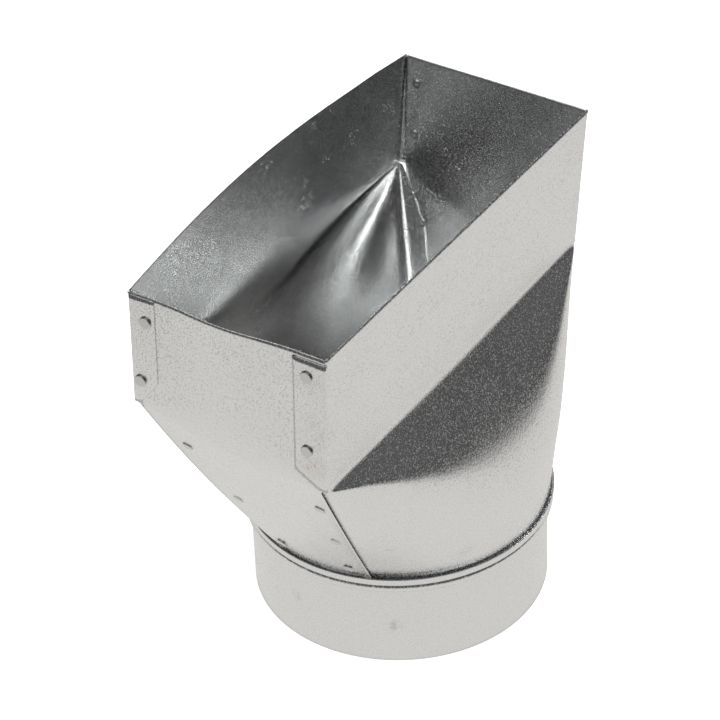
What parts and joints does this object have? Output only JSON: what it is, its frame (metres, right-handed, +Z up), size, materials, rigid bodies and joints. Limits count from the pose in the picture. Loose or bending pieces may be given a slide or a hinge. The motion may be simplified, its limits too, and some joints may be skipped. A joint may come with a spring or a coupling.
{
  "type": "register boot",
  "caption": "Galvanised sheet register boot with a rectangular mouth, a folded transition and a beaded round collar.",
  "frame": {"origin": "centre of the collar's bottom rim", "axes": "+Z up the collar's axis towards the mouth, +X along the mouth's long side towards its rear end, +Y across the mouth towards the far side"},
  "size_m": [0.2576, 0.1636, 0.2513],
  "materials": {
    "galvanised_sheet": "hot-dip galvanised, minimised spangle",
    "rivet_steel": "zinc plated, dull"
  },
  "bodies": {
    "root": {"near_side_panel": "galvanised_sheet", "far_side_panel": "galvanised_sheet", "front_end_panel": "galvanised_sheet", "rear_end_panel": "galvanised_sheet", "collar": "galvanised_sheet", "front_near_tab_rivet_1": "rivet_steel", "front_near_tab_rivet_2": "rivet_steel", "front_near_seam_rivet_1": "rivet_steel", "front_near_seam_rivet_2": "rivet_steel", "front_near_seam_rivet_3": "rivet_steel", "front_far_tab_rivet_1": "rivet_steel", "front_far_tab_rivet_2": "rivet_steel", "front_far_seam_rivet_1": "rivet_steel", "front_far_seam_rivet_2": "rivet_steel", "front_far_seam_rivet_3": "rivet_steel", "rear_near_tab_rivet_1": "rivet_steel", "rear_near_tab_rivet_2": "rivet_steel", "rear_near_seam_rivet_1": "rivet_steel", "rear_near_seam_rivet_2": "rivet_steel", "rear_near_seam_rivet_3": "rivet_steel", "rear_far_tab_rivet_1": "rivet_steel", "rear_far_tab_rivet_2": "rivet_steel", "rear_far_seam_rivet_1": "rivet_steel", "rear_far_seam_rivet_2": "rivet_steel", "rear_far_seam_rivet_3": "rivet_steel"}
  },
  "joints": []
}
